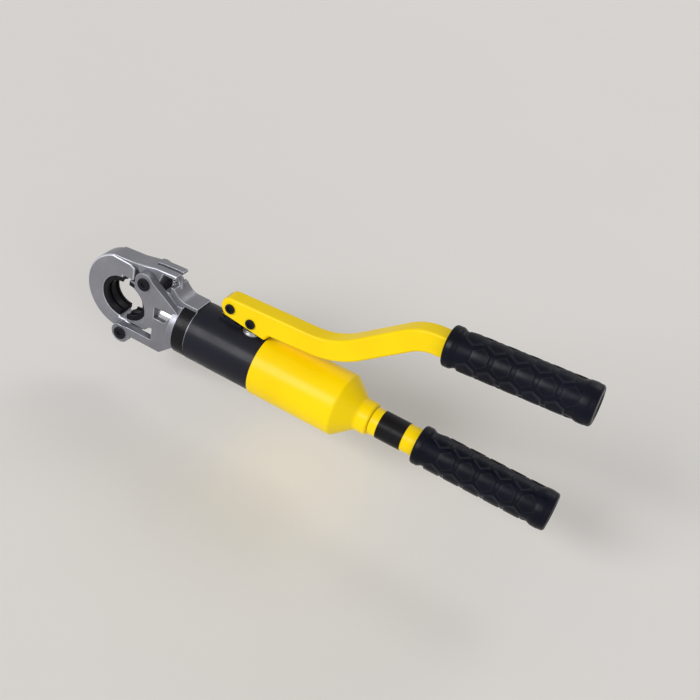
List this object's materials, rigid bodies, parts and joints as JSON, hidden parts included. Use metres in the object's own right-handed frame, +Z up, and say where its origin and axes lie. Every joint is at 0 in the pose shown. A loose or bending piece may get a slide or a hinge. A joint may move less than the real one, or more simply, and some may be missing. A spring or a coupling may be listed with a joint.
{
  "type": "hydraulic crimping tool",
  "caption": "Hand pumped hydraulic crimping tool: flip-open die head with latch, black cylinder, yellow reservoir, cranked pump lever and straight handle with rubber grips.",
  "frame": {"origin": "centre of the fixed die's bore, on the axis of the ram", "axes": "+X along the tool from the head to the handles, +Y across the tool along the bore of the dies, +Z up towards the pump lever"},
  "size_m": [0.4557, 0.056, 0.1693],
  "materials": {
    "head_steel": "machined, satin",
    "yoke_steel": "machined, satin",
    "die_black": "black oxide",
    "dark_steel": "black oxide, oiled",
    "chrome_rod": "hard chrome, polished",
    "inner_steel": "turned",
    "spring_steel": "drawn wire",
    "tube_black": "semi-gloss black",
    "yellow_paint": "gloss yellow",
    "label_black": "bare black film",
    "seal_rubber": "matt",
    "grip_rubber": "matt, moulded pads",
    "brass": "turned"
  },
  "bodies": {
    "body": {"yoke": "yoke_steel", "ring_label": "label_black", "cylinder_tube": "tube_black", "rod_seal": "seal_rubber", "pump_block": "inner_steel", "block_seal": "seal_rubber", "gland_nut": "inner_steel", "plunger_seal": "seal_rubber", "inlet_ball": "inner_steel", "outlet_ball": "inner_steel", "valve_plugs": "inner_steel", "relief_valve": "brass", "fulcrum_bracket": "tube_black", "bracket_screws": "dark_steel", "hinge_pin": "dark_steel", "hinge_clip": "dark_steel", "latch_pin": "dark_steel", "latch_clip": "dark_steel", "reservoir_housing": "yellow_paint", "oil_bladder": "seal_rubber", "bladder_clamp": "spring_steel", "return_spring": "spring_steel", "latch_spring": "spring_steel"},
    "ram": {"ram_rod": "chrome_rod", "piston": "inner_steel", "piston_seal": "seal_rubber", "die_holder": "head_steel", "moving_die": "die_black", "moving_die_screw": "dark_steel"},
    "jaw": {"flip_jaw": "head_steel", "fixed_die": "die_black", "fixed_die_screw": "dark_steel"},
    "latch_lever": {"latch": "head_steel"},
    "pump_lever": {"lever": "yellow_paint", "lever_grip": "grip_rubber", "fulcrum_pin": "dark_steel", "plunger_pin": "dark_steel", "lever_clips": "dark_steel"},
    "plunger": {"pump_plunger": "chrome_rod"},
    "handle": {"handle_tube": "yellow_paint", "handle_label": "label_black", "handle_grip": "grip_rubber", "release_spindle": "inner_steel"}
  },
  "joints": [
    {"name": "ram_slide", "type": "slide", "parent": "body", "child": "ram", "axis": [-1, 0, 0], "range_m": [0, 0.007], "stiffness_N_per_m": 2000, "springref_m": -0.012, "deforming": ["return_spring"]},
    {"name": "jaw_swing", "type": "hinge", "parent": "body", "child": "jaw", "pos_m": [0.007, 0, -0.0325], "axis": [0, -1, 0], "range_deg": [0, 100]},
    {"name": "latch_press", "type": "hinge", "parent": "body", "child": "latch_lever", "pos_m": [0.0275, 0, 0.031], "axis": [0, 1, 0], "range_deg": [0, 14], "stiffness_Nm_per_rad": 0.6, "springref_deg": -14.32, "deforming": ["latch_spring"]},
    {"name": "lever_swing", "type": "hinge", "parent": "body", "child": "pump_lever", "pos_m": [0.10975, 0, 0.0435], "axis": [0, -1, 0], "range_deg": [0, 35]},
    {"name": "plunger_slide", "type": "slide", "parent": "body", "child": "plunger", "axis": [0, 0, 1], "range_m": [0, 0.0135]},
    {"name": "release_turn", "type": "hinge", "parent": "body", "child": "handle", "pos_m": [0.2545, 0, 0], "axis": [1, 0, 0], "range_deg": [0, 90]}
  ],
  "couplings": [
    {"joint": "plunger_slide", "follows": "lever_swing", "m_per_rad": 0.0213}
  ]
}
